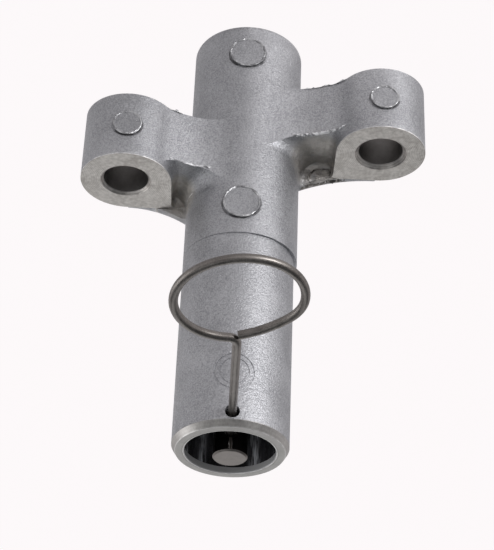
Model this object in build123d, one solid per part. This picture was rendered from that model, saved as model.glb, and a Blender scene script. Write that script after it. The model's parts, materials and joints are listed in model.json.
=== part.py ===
from build123d import *
import os
from math import acos, degrees, radians, sin, sqrt, tan

# Hydraulic timing belt tensioner, in millimetres.
# The closed end of the cylinder stands on the XY plane, the cylinder's axis is Z and its mouth points up.
# The front of the casting, with the release pin and the ejector pads, faces -Y.

# Outside of the cylinder. The dies meet at the draw step, where the casting steps sideways by the shift.
CYLINDER_LENGTH = 96.0
CLOSED_END_RADIUS = 11.5
MOUTH_END_RADIUS = 11.2
DRAW_STEP_Z = 53.4
DIE_SHIFT = 0.3
CLOSED_EDGE_FILLET = 1.1
MOUTH_CHAMFER_LENGTH = 1.25
MOUTH_CHAMFER_DEPTH = 0.75

# Bores, from the closed end up: pocket for the sleeve's foot, oil chamber, seat of the guide and the seal.
FLOOR_THICKNESS = 6.0
SLEEVE_POCKET_DEPTH = 4.0
CHAMBER_RADIUS = 8.1
MOUTH_BORE_DEPTH = 24.8
MOUTH_BORE_RADIUS = 8.7
MOUTH_BORE_CHAMFER = 0.15

# Bolt ears. Both stand in front of the parting plane, the upper one nearer the mouth.
EAR_RADIUS = 9.15
EAR_LENGTH = 15.15
EAR_Y = -8.65
BOLT_SPACING_X = 51.6
BOLT_SPACING_Z = 9.9
UPPER_EAR_X = 23.5
LOWER_EAR_BASE_Z = 15.4
BOLT_HOLE_RADIUS = 4.5
UPPER_HOLE_CHAMFER = 0.6
LOWER_HOLE_CHAMFER = 0.85

# Arms between the cylinder and the ears: their front face, measured at the ear's inner side, and their shelf.
# Where the room between the cylinder and an ear is short, it limits the blends on both sides of the arm.
UPPER_ARM_FRONT = 12.7
LOWER_ARM_FRONT = 12.2
ARM_ANGLE = 21.8
ARM_BLEND_RADIUS = 15.0
EAR_BLEND_RADIUS = 8.0
ARM_BLEND_PER_ROOM = 5.3
EAR_BLEND_PER_ROOM = 2.9
SHELF_DEPTH = 3.0
SHELF_FILLET = 3.7
EAR_FOOT_FILLET = 1.8
ARM_BASE_FILLET = 0.9

# Ribs behind the parting plane, which rise along the cylinder from each arm.
RIB_THICKNESS = 3.2
RIB_EDGE_FILLET = 2.4
RIB_RISE = 4.6
RIB_ROOT = 1.5
RIB_TUCK = 0.9
POCKET_FILLET = 1.4

# Flat pads that the ejector pins leave on the front.
BODY_PAD_RADIUS = 3.75
BODY_PAD_HEIGHT = 0.35
LOW_PAD_Z = 7.8
MIDDLE_PAD_Z = 46.2
EAR_PAD_RADIUS = 2.9
EAR_PAD_HEIGHT = 0.3
POCKET_PAD_RADIUS = 2.3
POCKET_PAD_HEIGHT = 0.2
POCKET_PAD_ROOT = 0.5
UPPER_POCKET_PAD_X = 10.3
LOWER_POCKET_PAD_X = -16.0
RING_MARK_FROM_MOUTH = 11.4
RING_MARK_RADIUS = 3.85
RING_MARK_WIDTH = 0.35
RING_MARK_STEP = 0.95
RING_MARK_DEPTH = 0.12

# Pin hole through the front wall and the push rod.
PIN_FROM_MOUTH = 3.0
WALL_PIN_HOLE_RADIUS = 1.38
ROD_PIN_HOLE_RADIUS = 1.35

# Release pin, one length of spring wire.
WIRE_RADIUS = 0.8
PIN_TIP_DEPTH = 2.9
LEG_STRAIGHT_LENGTH = 34.3
LEG_SAG_RADIUS = 12.0
LEG_SAG_ANGLE = 4.65
RING_BEND_RADIUS = 1.8
RING_RADIUS = 11.0
RING_ROLL_ANGLE = 5.2
SHOULDER_PLACE_ANGLE = 175.0
SHOULDER_RADIUS = 7.5
SHOULDER_TURN = 42.0
RING_END_SIDE = 0.2
RING_END_REACH = 10.4

# Steel sleeve, with its closed foot in the pocket, and its ring seal.
SLEEVE_RADIUS = 7.0
SLEEVE_BORE_RADIUS = 5.0
SLEEVE_FOOT_THICKNESS = 2.0
SLEEVE_TOP_GAP = 2.0
SLEEVE_POCKET_CLEARANCE = 0.03
SEAL_RING_SECTION_RADIUS = 0.55
SEAL_RING_CLEARANCE = 0.01
SEAL_GROOVE_LENGTH = 1.5
SEAL_GROOVE_HEIGHT = 1.2
SLEEVE_EDGE_CHAMFER = 0.4

# Plunger and its one-way valve.
PLUNGER_CLEARANCE = 0.03
PLUNGER_LENGTH = 22.0
PLUNGER_PASSAGE_RADIUS = 1.3
PLUNGER_WELL_RADIUS = 3.4
PLUNGER_WELL_DEPTH = 12.0
VALVE_POCKET_RADIUS = 3.2
VALVE_POCKET_DEPTH = 4.0
PLUNGER_EDGE_CHAMFER = 0.3
BALL_RADIUS = 1.9
CAGE_WALL = 0.35
CAGE_FIT = 0.02
CAGE_DROP = 1.9
CAGE_SEATING = 3.4
CAGE_WINDOW_RADIUS = 0.5
CAGE_WINDOW_CIRCLE = 2.0
CAGE_WINDOWS = 4
BALL_SPRING_WIRE_RADIUS = 0.15
BALL_SPRING_RADIUS = 1.1
BALL_SPRING_TURNS = 3
SPRING_END_GAP = 0.03

# Return spring between the sleeve's foot and the plunger.
RETURN_SPRING_WIRE_RADIUS = 0.5
RETURN_SPRING_CLEARANCE = 0.35
RETURN_SPRING_TURNS = 7

# Push rod with its collar and the wear ring round the collar.
ROD_RADIUS = 3.32
ROD_PROUD = 1.18
ROD_TIP_CHAMFER = 0.3
ROD_TRAVEL = 8.8
STOP_GAP = 0.4
COLLAR_HEIGHT = 8.0
COLLAR_CLEARANCE = 0.45
COLLAR_PORT_RADIUS = 0.9
COLLAR_PORT_CIRCLE = 5.6
COLLAR_PORTS = 6
COLLAR_EDGE_CHAMFER = 0.5
ROD_FOOT_RADIUS = 4.5
ROD_FOOT_HEIGHT = 4.0
FOOT_PASSAGE_RADIUS = 1.0
FOOT_PORT_RADIUS = 0.7
FOOT_PORT_DROP = 1.0
WEAR_RING_HEIGHT = 4.0
WEAR_RING_THICKNESS = 1.1
WEAR_RING_CLEARANCE = 0.05
WEAR_RING_PLAY = 0.1
WEAR_RING_SPLIT = 1.0

# Rod guide, washer, oil seal and the snap ring that holds them.
GUIDE_LENGTH = 6.0
GUIDE_BORE_CLEARANCE = 0.05
SEAT_CLEARANCE = 0.03
WASHER_THICKNESS = 1.0
WASHER_BORE_CLEARANCE = 0.5
SEAL_CASE_HEIGHT = 5.0
SEAL_CASE_WALL = 0.6
SEAL_CASE_BORE_RADIUS = 5.2
SEAL_LIP_CLEARANCE = 0.06
SEAL_LIP_LENGTH = 3.6
SEAL_LIP_RELIEF = 0.6
SEAL_LIP_THICKNESS = 1.0
SEAL_LIP_BAND = 0.5
SEAL_BASE_THICKNESS = 1.2
GARTER_SECTION_RADIUS = 0.4
GARTER_CLEARANCE = 0.01
GARTER_RISE = 1.0
SNAP_RING_THICKNESS = 1.2
SNAP_RING_INNER_RADIUS = 7.4
SNAP_GROOVE_DEPTH = 0.7
SNAP_GROOVE_PLAY = 0.1
SNAP_RING_GAP_ANGLE = 40.0
SNAP_RING_GAP_PLACE = 90.0
SNAP_RING_EYE_RADIUS = 0.6
SNAP_RING_LUG_RADIUS = 1.3
SNAP_RING_LUG_CIRCLE = 7.2
SNAP_RING_FIT = 0.05

# How far a cutting shape runs past the face that it cuts.
CUT_MARGIN = 1.0

# Places that follow from the sizes above.
PARTING_Y = EAR_Y + EAR_RADIUS
LOWER_EAR_X = UPPER_EAR_X - BOLT_SPACING_X
UPPER_EAR_BASE_Z = LOWER_EAR_BASE_Z + BOLT_SPACING_Z
SLEEVE_FOOT_Z = FLOOR_THICKNESS
CHAMBER_FLOOR_Z = SLEEVE_FOOT_Z + SLEEVE_POCKET_DEPTH
SLEEVE_FLOOR_Z = SLEEVE_FOOT_Z + SLEEVE_FOOT_THICKNESS
GUIDE_SEAT_Z = CYLINDER_LENGTH - MOUTH_BORE_DEPTH
PIN_Z = CYLINDER_LENGTH - PIN_FROM_MOUTH
RING_MARK_Z = CYLINDER_LENGTH - RING_MARK_FROM_MOUTH
ROD_TOP_Z = CYLINDER_LENGTH + ROD_PROUD
COLLAR_TOP_Z = GUIDE_SEAT_Z - ROD_TRAVEL - STOP_GAP
COLLAR_BASE_Z = COLLAR_TOP_Z - COLLAR_HEIGHT
COLLAR_RADIUS = CHAMBER_RADIUS - COLLAR_CLEARANCE
PLUNGER_TOP_Z = COLLAR_BASE_Z - ROD_FOOT_HEIGHT
PLUNGER_BASE_Z = PLUNGER_TOP_Z - PLUNGER_LENGTH
SLEEVE_TOP_Z = COLLAR_BASE_Z - SLEEVE_TOP_GAP
WASHER_Z = GUIDE_SEAT_Z + GUIDE_LENGTH
SEAL_Z = WASHER_Z + WASHER_THICKNESS
SNAP_RING_Z = SEAL_Z + SEAL_CASE_HEIGHT
SEAT_RADIUS = MOUTH_BORE_RADIUS - SEAT_CLEARANCE
SLEEVE_POCKET_RADIUS = SLEEVE_RADIUS + SLEEVE_POCKET_CLEARANCE
PLUNGER_RADIUS = SLEEVE_BORE_RADIUS - PLUNGER_CLEARANCE
VALVE_SEAT_Z = PLUNGER_BASE_Z + VALVE_POCKET_DEPTH
BALL_Z = VALVE_SEAT_Z - sqrt(BALL_RADIUS**2 - PLUNGER_PASSAGE_RADIUS**2)
CAGE_RADIUS = VALVE_POCKET_RADIUS - CAGE_FIT
CAGE_FLOOR_Z = PLUNGER_BASE_Z - CAGE_DROP + CAGE_WALL
WEAR_RING_RADIUS = CHAMBER_RADIUS - WEAR_RING_CLEARANCE
WEAR_RING_BASE_Z = (COLLAR_BASE_Z + COLLAR_TOP_Z - WEAR_RING_HEIGHT) / 2
SNAP_GROOVE_RADIUS = MOUTH_BORE_RADIUS + SNAP_GROOVE_DEPTH


def ring_section(inner, outer, low, high):
    """Rectangle in the XZ plane, which a revolve turns into a ring about Z."""
    centre = Pos((inner + outer) / 2, (low + high) / 2)
    return Plane.XZ * centre * Rectangle(outer - inner, high - low)


def ring(inner, outer, low, high):
    """Plain ring about Z."""
    return revolve(ring_section(inner, outer, low, high), Axis.Z)


def turned(points):
    """Solid of revolution about Z, from the outline of its half section as (radius, height) points."""
    return revolve(make_face(Plane.XZ * Polyline(*points, close=True)), Axis.Z)


def disc(radius, low, high):
    """Cylinder about Z between two heights."""
    return Pos(0, 0, low) * Cylinder(radius, high - low, align=(Align.CENTER, Align.CENTER, Align.MIN))


def front_rod(radius, x, z, y_near, y_far):
    """Cylinder along Y, from the nearer (more negative) y to the further one."""
    shape = Cylinder(radius, y_far - y_near, align=(Align.CENTER, Align.CENTER, Align.MIN))
    return Pos(x, y_near, z) * Rot(-90, 0, 0) * shape


def corner_section(wall, foot, size, up):
    """Section of a concave fillet: the square in the corner, less the circle that rounds it."""
    square = Pos(wall + size / 2, foot + up * size / 2) * Rectangle(size, size)
    return square - Pos(wall + size, foot + up * size) * Circle(size)


def fillet_collar(radius, foot, size, up):
    """Concave fillet all round a cylinder about Z that stands on a flat face."""
    return revolve(Plane.XZ * corner_section(radius, foot, size, up), Axis.Z)


def coil(radius, wire_radius, low, high, turns):
    """Helical spring whose wire lies wholly between two heights."""
    height = high - low - 2 * wire_radius
    path = Pos(0, 0, low + wire_radius) * Helix(height / turns, height, radius)
    start = Plane(path @ 0, z_dir=path % 0)
    return sweep(start * Circle(wire_radius), path=path, is_frenet=True)


class Ear:
    """Sizes of one bolt ear and its arm, from the named values above."""

    def __init__(self, x, base_z, arm_front, hole_chamfer, pocket_pad_x):
        self.x = x
        self.side = 1 if x > 0 else -1
        self.base_z = base_z
        self.top_z = base_z + EAR_LENGTH
        self.shelf_z = self.top_z - SHELF_DEPTH
        self.inner_x = x - self.side * EAR_RADIUS
        self.room = abs(self.inner_x) - CLOSED_END_RADIUS
        self.arm_front = arm_front
        self.hole_chamfer = hole_chamfer
        self.pocket_pad_x = pocket_pad_x

    def front_y(self, x):
        """Place of the arm's straight front line in plan at one x."""
        return -self.arm_front - (abs(x) - abs(self.inner_x)) * tan(radians(ARM_ANGLE))


UPPER_EAR = Ear(UPPER_EAR_X, UPPER_EAR_BASE_Z, UPPER_ARM_FRONT, UPPER_HOLE_CHAMFER, UPPER_POCKET_PAD_X)
LOWER_EAR = Ear(LOWER_EAR_X, LOWER_EAR_BASE_Z, LOWER_ARM_FRONT, LOWER_HOLE_CHAMFER, LOWER_POCKET_PAD_X)


def ear_plan(ear):
    """Machined D face: a circle whose inner back corner is square, because the die draws along Y."""
    corner = Pos((ear.x + ear.inner_x) / 2, (EAR_Y + PARTING_Y) / 2) * Rectangle(EAR_RADIUS, EAR_RADIUS)
    return Pos(ear.x, EAR_Y) * Circle(EAR_RADIUS) + corner


def front_valleys(plan, ear):
    """Inward corners of the plan's front line between the cylinder and the ear, the cylinder's first."""
    between = plan.vertices().filter_by(lambda v: v.Y < EAR_Y / 2 and 0 < v.X * ear.side < abs(ear.x))
    return between.sort_by(lambda v: abs(v.X))


def arm_plan(ear):
    """Plan of the arm with its ear, and with the sweeps into the ear and the cylinder."""
    outline = Polyline(
        (0, PARTING_Y), (ear.x, PARTING_Y), (ear.x, ear.front_y(ear.x)), (0, ear.front_y(0)), close=True
    )
    plan = make_face(outline) + ear_plan(ear) + Pos(-DIE_SHIFT, 0) * Circle(CLOSED_END_RADIUS)
    ear_blend = min(EAR_BLEND_RADIUS, EAR_BLEND_PER_ROOM * ear.room)
    arm_blend = min(ARM_BLEND_RADIUS, ARM_BLEND_PER_ROOM * ear.room)
    plan = fillet(front_valleys(plan, ear)[-1], ear_blend)
    plan = fillet(front_valleys(plan, ear)[0], arm_blend)
    reach = 2 * (abs(ear.x) + EAR_RADIUS + CUT_MARGIN)
    in_front = Pos(0, PARTING_Y) * Rectangle(reach, reach, align=(Align.CENTER, Align.MAX))
    return plan & in_front


def rib_outline(ear):
    """Face of the rib in the XZ plane: it rises along the cylinder in hollow curves on both sides."""
    root = (CLOSED_END_RADIUS - RIB_ROOT) * ear.side
    top = ear.top_z - RIB_TUCK
    low = ear.base_z + RIB_TUCK
    high_end = top + RIB_RISE
    low_end = low - RIB_RISE
    above = TangentArc((ear.x, top), (root, high_end), tangent=(-ear.side, 0))
    below = TangentArc((ear.x, low), (root, low_end), tangent=(-ear.side, 0))
    inside = Polyline((root, high_end), (0, high_end), (0, low_end), (root, low_end))
    return make_face(above + inside + below + Line((ear.x, low), (ear.x, top)))


def rib(ear):
    """Rib behind the parting plane, with rounded back edges."""
    plate = Pos(0, PARTING_Y, 0) * extrude(Plane.XZ * rib_outline(ear), RIB_THICKNESS, dir=(0, 1, 0))
    back = plate.faces().sort_by(Axis.Y)[-1]
    rims = back.edges().filter_by(lambda e: abs(e.center().X) > CLOSED_END_RADIUS)
    return fillet(rims, RIB_EDGE_FILLET)


def pocket_fillets(ear):
    """Concave fillets in front of the rib, where it meets the shelf, the cylinder and the ear's side."""
    in_plan = corner_section(0, 0, POCKET_FILLET, -1)
    towards_ear = in_plan if ear.side > 0 else mirror(in_plan, Plane.YZ)
    towards_cylinder = mirror(towards_ear, Plane.YZ)
    wall_x = ear.side * sqrt(CLOSED_END_RADIUS**2 - (PARTING_Y - POCKET_FILLET)**2) - DIE_SHIFT
    at_wall = slab(Pos(wall_x, PARTING_Y) * towards_ear, ear.base_z - RIB_RISE, ear.top_z + RIB_RISE)
    at_ear = slab(Pos(ear.inner_x, PARTING_Y) * towards_cylinder, ear.shelf_z, ear.top_z)
    in_side_view = mirror(corner_section(0, 0, POCKET_FILLET, 1), Plane.YZ)
    shelf_corner = Plane.YZ * Pos(PARTING_Y, ear.shelf_z) * in_side_view
    at_shelf = extrude(shelf_corner, abs(ear.x), dir=(ear.side, 0, 0))
    over_rib = extrude(Plane.XZ * rib_outline(ear), 2 * POCKET_FILLET, dir=(0, -1, 0))
    return (at_wall + at_ear + at_shelf) & Pos(0, PARTING_Y, 0) * over_rib


def slab(plan, low, high):
    """Plan outline carried up from one height to another."""
    return extrude(Pos(0, 0, low) * plan, high - low)


def ear_foot(ear):
    """Concave fillet where the ear stands on the shelf: round its front and along its straight inner side."""
    round_front = Pos(ear.x, EAR_Y, 0) * fillet_collar(EAR_RADIUS, ear.shelf_z, EAR_FOOT_FILLET, 1)
    section = corner_section(EAR_RADIUS, ear.shelf_z, EAR_FOOT_FILLET, 1)
    towards_cylinder = mirror(section, Plane.YZ) if ear.side > 0 else section
    along_side = extrude(Plane.XZ * towards_cylinder, EAR_RADIUS, dir=(0, -1, 0))
    return round_front + Pos(ear.x, PARTING_Y, 0) * along_side


def arm_with_ear(ear):
    """One arm with its ear, its shelf and the fillets that run into the shelf, and the rib behind."""
    plan = arm_plan(ear)
    shape = slab(plan, ear.base_z, ear.shelf_z) + slab(ear_plan(ear), ear.base_z, ear.top_z) + rib(ear)
    closed_half_axis = Pos(-DIE_SHIFT, 0, 0)
    shelf_collar = closed_half_axis * fillet_collar(CLOSED_END_RADIUS, ear.shelf_z, SHELF_FILLET, 1)
    shape += shelf_collar & slab(plan, ear.shelf_z, ear.shelf_z + SHELF_FILLET)
    base_collar = closed_half_axis * fillet_collar(CLOSED_END_RADIUS, ear.base_z, ARM_BASE_FILLET, -1)
    shape += base_collar & slab(plan, ear.base_z - ARM_BASE_FILLET, ear.base_z)
    shape += ear_foot(ear) & slab(plan, ear.shelf_z, ear.shelf_z + EAR_FOOT_FILLET)
    return shape + pocket_fillets(ear)


def cylinder_outside():
    """Outside of the cylinder: the closed half steps sideways from the mouth half at the draw step."""
    closed_half = Pos(-DIE_SHIFT, 0, 0) * disc(CLOSED_END_RADIUS, 0, DRAW_STEP_Z)
    closed_half = fillet(closed_half.edges().group_by(Axis.Z)[0], CLOSED_EDGE_FILLET)
    chamfer_z = CYLINDER_LENGTH - MOUTH_CHAMFER_LENGTH
    face_radius = MOUTH_END_RADIUS - MOUTH_CHAMFER_DEPTH
    mouth_half = turned([
        (0, DRAW_STEP_Z), (MOUTH_END_RADIUS, DRAW_STEP_Z), (MOUTH_END_RADIUS, chamfer_z),
        (face_radius, CYLINDER_LENGTH), (0, CYLINDER_LENGTH),
    ])
    return closed_half + mouth_half


def ejector_pads(ear):
    """Flat pads of one side: one on the ear's round front, one on the rib, cut off by the rib's edge."""
    ear_front = EAR_Y - EAR_RADIUS - EAR_PAD_HEIGHT
    middle_z = (ear.base_z + ear.top_z) / 2
    on_ear = front_rod(EAR_PAD_RADIUS, ear.x, middle_z, ear_front, EAR_Y)
    pad_circle = Pos(ear.pocket_pad_x, ear.top_z) * Circle(POCKET_PAD_RADIUS)
    pad_face = Plane.XZ * (pad_circle & rib_outline(ear))
    on_rib = extrude(pad_face, POCKET_PAD_ROOT + POCKET_PAD_HEIGHT, dir=(0, -1, 0))
    return on_ear + Pos(0, PARTING_Y + POCKET_PAD_ROOT, 0) * on_rib


def ring_marks():
    """Two shallow rings in the front of the cylinder, one inside the other."""
    marks = Part()
    for outer in (RING_MARK_RADIUS, RING_MARK_RADIUS - RING_MARK_STEP):
        whole = front_rod(outer, 0, RING_MARK_Z, -MOUTH_END_RADIUS - CUT_MARGIN, 0)
        core = front_rod(outer - RING_MARK_WIDTH, 0, RING_MARK_Z, -MOUTH_END_RADIUS - CUT_MARGIN, 0)
        marks += whole - core
    floor_radius = MOUTH_END_RADIUS - RING_MARK_DEPTH
    return marks - disc(floor_radius, 0, CYLINDER_LENGTH)


def bores():
    """Everything that is cut out along the cylinder's axis, with the snap ring's groove."""
    past_mouth = CYLINDER_LENGTH + CUT_MARGIN
    rim_radius = MOUTH_BORE_RADIUS + MOUTH_BORE_CHAMFER
    stepped = turned([
        (0, SLEEVE_FOOT_Z), (SLEEVE_POCKET_RADIUS, SLEEVE_FOOT_Z), (SLEEVE_POCKET_RADIUS, CHAMBER_FLOOR_Z),
        (CHAMBER_RADIUS, CHAMBER_FLOOR_Z), (CHAMBER_RADIUS, GUIDE_SEAT_Z), (MOUTH_BORE_RADIUS, GUIDE_SEAT_Z),
        (MOUTH_BORE_RADIUS, CYLINDER_LENGTH - MOUTH_BORE_CHAMFER), (rim_radius, CYLINDER_LENGTH),
        (rim_radius, past_mouth), (0, past_mouth),
    ])
    groove_top = SNAP_RING_Z + SNAP_RING_THICKNESS + SNAP_GROOVE_PLAY
    return stepped + disc(SNAP_GROOVE_RADIUS, SNAP_RING_Z, groove_top)


def bolt_hole(ear):
    """Hole through the ear with its chamfer at the machined face."""
    mouth_side = ear.top_z + CUT_MARGIN
    chamfer_radius = BOLT_HOLE_RADIUS + ear.hole_chamfer
    return Pos(ear.x, EAR_Y, 0) * turned([
        (0, ear.base_z - CUT_MARGIN), (BOLT_HOLE_RADIUS, ear.base_z - CUT_MARGIN),
        (BOLT_HOLE_RADIUS, ear.top_z - ear.hole_chamfer), (chamfer_radius, ear.top_z),
        (chamfer_radius, mouth_side), (0, mouth_side),
    ])


def make_housing():
    """Die-cast housing: cylinder, closed end, two arms with bolt ears, ribs, pads and bores in one piece."""
    shape = cylinder_outside()
    for ear in (UPPER_EAR, LOWER_EAR):
        shape += arm_with_ear(ear)
        shape += ejector_pads(ear)
    pad_front = -CLOSED_END_RADIUS - BODY_PAD_HEIGHT
    for pad_z in (LOW_PAD_Z, MIDDLE_PAD_Z):
        shape += front_rod(BODY_PAD_RADIUS, 0, pad_z, pad_front, 0)
    for ear in (UPPER_EAR, LOWER_EAR):
        shape -= bolt_hole(ear)
    shape -= bores()
    shape -= front_rod(WALL_PIN_HOLE_RADIUS, 0, PIN_Z, -MOUTH_END_RADIUS - CUT_MARGIN, 0)
    return shape - ring_marks()


def make_cylinder_sleeve():
    """Steel sleeve with a closed foot and the groove of its ring seal."""
    outer_corner = SLEEVE_RADIUS - SLEEVE_EDGE_CHAMFER
    low_corner_z = SLEEVE_FOOT_Z + SLEEVE_EDGE_CHAMFER
    high_corner_z = SLEEVE_TOP_Z - SLEEVE_EDGE_CHAMFER
    groove_radius = SLEEVE_POCKET_RADIUS - 2 * (SEAL_RING_SECTION_RADIUS + SEAL_RING_CLEARANCE)
    groove_low = SLEEVE_FOOT_Z + SEAL_GROOVE_HEIGHT
    groove_high = groove_low + SEAL_GROOVE_LENGTH
    return turned([
        (0, SLEEVE_FOOT_Z), (outer_corner, SLEEVE_FOOT_Z), (SLEEVE_RADIUS, low_corner_z),
        (SLEEVE_RADIUS, groove_low), (groove_radius, groove_low), (groove_radius, groove_high),
        (SLEEVE_RADIUS, groove_high), (SLEEVE_RADIUS, high_corner_z), (outer_corner, SLEEVE_TOP_Z),
        (SLEEVE_BORE_RADIUS, SLEEVE_TOP_Z), (SLEEVE_BORE_RADIUS, SLEEVE_FLOOR_Z), (0, SLEEVE_FLOOR_Z),
    ])


def make_sleeve_o_ring():
    """Ring seal in the groove of the sleeve, against the wall of the pocket."""
    centre_radius = SLEEVE_POCKET_RADIUS - SEAL_RING_SECTION_RADIUS - SEAL_RING_CLEARANCE
    centre_z = SLEEVE_FOOT_Z + SEAL_GROOVE_HEIGHT + SEAL_GROOVE_LENGTH / 2
    return Pos(0, 0, centre_z) * Torus(centre_radius, SEAL_RING_SECTION_RADIUS)


def make_plunger():
    """Plunger: pocket of the one-way valve, passage that the ball shuts, and oil well above them."""
    edge_radius = PLUNGER_RADIUS - PLUNGER_EDGE_CHAMFER
    well_floor_z = PLUNGER_TOP_Z - PLUNGER_WELL_DEPTH
    return turned([
        (VALVE_POCKET_RADIUS, PLUNGER_BASE_Z), (edge_radius, PLUNGER_BASE_Z),
        (PLUNGER_RADIUS, PLUNGER_BASE_Z + PLUNGER_EDGE_CHAMFER),
        (PLUNGER_RADIUS, PLUNGER_TOP_Z - PLUNGER_EDGE_CHAMFER), (edge_radius, PLUNGER_TOP_Z),
        (PLUNGER_WELL_RADIUS, PLUNGER_TOP_Z), (PLUNGER_WELL_RADIUS, well_floor_z),
        (PLUNGER_PASSAGE_RADIUS, well_floor_z), (PLUNGER_PASSAGE_RADIUS, VALVE_SEAT_Z),
        (VALVE_POCKET_RADIUS, VALVE_SEAT_Z),
    ])


def make_check_ball():
    """Ball of the one-way valve, on the edge of the plunger's passage."""
    return Pos(0, 0, BALL_Z) * Sphere(BALL_RADIUS)


def make_check_ball_spring():
    """Small spring between the cage's floor and the underside of the ball."""
    reach = sqrt((BALL_RADIUS + BALL_SPRING_WIRE_RADIUS)**2 - BALL_SPRING_RADIUS**2)
    top = BALL_Z - reach + BALL_SPRING_WIRE_RADIUS - SPRING_END_GAP
    low = CAGE_FLOOR_Z + SPRING_END_GAP
    return coil(BALL_SPRING_RADIUS, BALL_SPRING_WIRE_RADIUS, low, top, BALL_SPRING_TURNS)


def make_check_ball_cage():
    """Pressed cup in the plunger's pocket, with oil windows in its floor."""
    base_z = CAGE_FLOOR_Z - CAGE_WALL
    rim_z = PLUNGER_BASE_Z + CAGE_SEATING
    cup = disc(CAGE_RADIUS, base_z, rim_z) - disc(CAGE_RADIUS - CAGE_WALL, CAGE_FLOOR_Z, rim_z + CUT_MARGIN)
    window = disc(CAGE_WINDOW_RADIUS, base_z - CUT_MARGIN, CAGE_FLOOR_Z + CUT_MARGIN)
    for place in PolarLocations(CAGE_WINDOW_CIRCLE, CAGE_WINDOWS):
        cup -= place * window
    return cup


def make_return_spring():
    """Spring that pushes the plunger and the rod out, inside the sleeve."""
    radius = SLEEVE_BORE_RADIUS - RETURN_SPRING_CLEARANCE - RETURN_SPRING_WIRE_RADIUS
    low = SLEEVE_FLOOR_Z + SPRING_END_GAP
    high = PLUNGER_BASE_Z - SPRING_END_GAP
    return coil(radius, RETURN_SPRING_WIRE_RADIUS, low, high, RETURN_SPRING_TURNS)


def make_push_rod():
    """Push rod: foot on the plunger, collar with oil ports and a groove, and stem with the pin's hole."""
    groove_radius = WEAR_RING_RADIUS - WEAR_RING_THICKNESS - WEAR_RING_CLEARANCE
    groove_high = WEAR_RING_BASE_Z + WEAR_RING_HEIGHT + WEAR_RING_PLAY
    collar_corner = COLLAR_RADIUS - COLLAR_EDGE_CHAMFER
    shape = turned([
        (0, PLUNGER_TOP_Z), (ROD_FOOT_RADIUS, PLUNGER_TOP_Z), (ROD_FOOT_RADIUS, COLLAR_BASE_Z),
        (collar_corner, COLLAR_BASE_Z), (COLLAR_RADIUS, COLLAR_BASE_Z + COLLAR_EDGE_CHAMFER),
        (COLLAR_RADIUS, WEAR_RING_BASE_Z), (groove_radius, WEAR_RING_BASE_Z), (groove_radius, groove_high),
        (COLLAR_RADIUS, groove_high), (COLLAR_RADIUS, COLLAR_TOP_Z - COLLAR_EDGE_CHAMFER),
        (collar_corner, COLLAR_TOP_Z), (ROD_RADIUS, COLLAR_TOP_Z), (ROD_RADIUS, ROD_TOP_Z - ROD_TIP_CHAMFER),
        (ROD_RADIUS - ROD_TIP_CHAMFER, ROD_TOP_Z), (0, ROD_TOP_Z),
    ])
    port = disc(COLLAR_PORT_RADIUS, COLLAR_BASE_Z - CUT_MARGIN, COLLAR_TOP_Z + CUT_MARGIN)
    for place in PolarLocations(COLLAR_PORT_CIRCLE, COLLAR_PORTS):
        shape -= place * port
    shape -= front_rod(ROD_PIN_HOLE_RADIUS, 0, PIN_Z, -ROD_RADIUS - CUT_MARGIN, ROD_RADIUS + CUT_MARGIN)
    foot_port_z = COLLAR_BASE_Z - FOOT_PORT_DROP
    shape -= disc(FOOT_PASSAGE_RADIUS, PLUNGER_TOP_Z - CUT_MARGIN, COLLAR_BASE_Z)
    foot_reach = ROD_FOOT_RADIUS + CUT_MARGIN
    return shape - front_rod(FOOT_PORT_RADIUS, 0, foot_port_z, -foot_reach, foot_reach)


def make_wear_ring():
    """Split plastic ring round the collar, which runs on the chamber's wall."""
    inner = WEAR_RING_RADIUS - WEAR_RING_THICKNESS
    whole = ring(inner, WEAR_RING_RADIUS, WEAR_RING_BASE_Z, WEAR_RING_BASE_Z + WEAR_RING_HEIGHT)
    middle = Pos(WEAR_RING_RADIUS, 0, WEAR_RING_BASE_Z + WEAR_RING_HEIGHT / 2)
    return whole - middle * Box(WEAR_RING_RADIUS, WEAR_RING_SPLIT, 2 * WEAR_RING_HEIGHT)


def make_rod_guide():
    """Bush that carries the rod, on the shoulder of the mouth bore."""
    return ring(ROD_RADIUS + GUIDE_BORE_CLEARANCE, SEAT_RADIUS, GUIDE_SEAT_Z, WASHER_Z)


def make_seal_backup_washer():
    """Flat washer between the guide and the oil seal."""
    return ring(ROD_RADIUS + WASHER_BORE_CLEARANCE, SEAT_RADIUS, WASHER_Z, SEAL_Z)


def make_oil_seal_case():
    """Steel case of the oil seal: an outer wall with a flange on the mouth side."""
    wall = ring(SEAT_RADIUS - SEAL_CASE_WALL, SEAT_RADIUS, SEAL_Z, SNAP_RING_Z)
    return wall + ring(SEAL_CASE_BORE_RADIUS, SEAT_RADIUS, SNAP_RING_Z - SEAL_CASE_WALL, SNAP_RING_Z)


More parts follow.
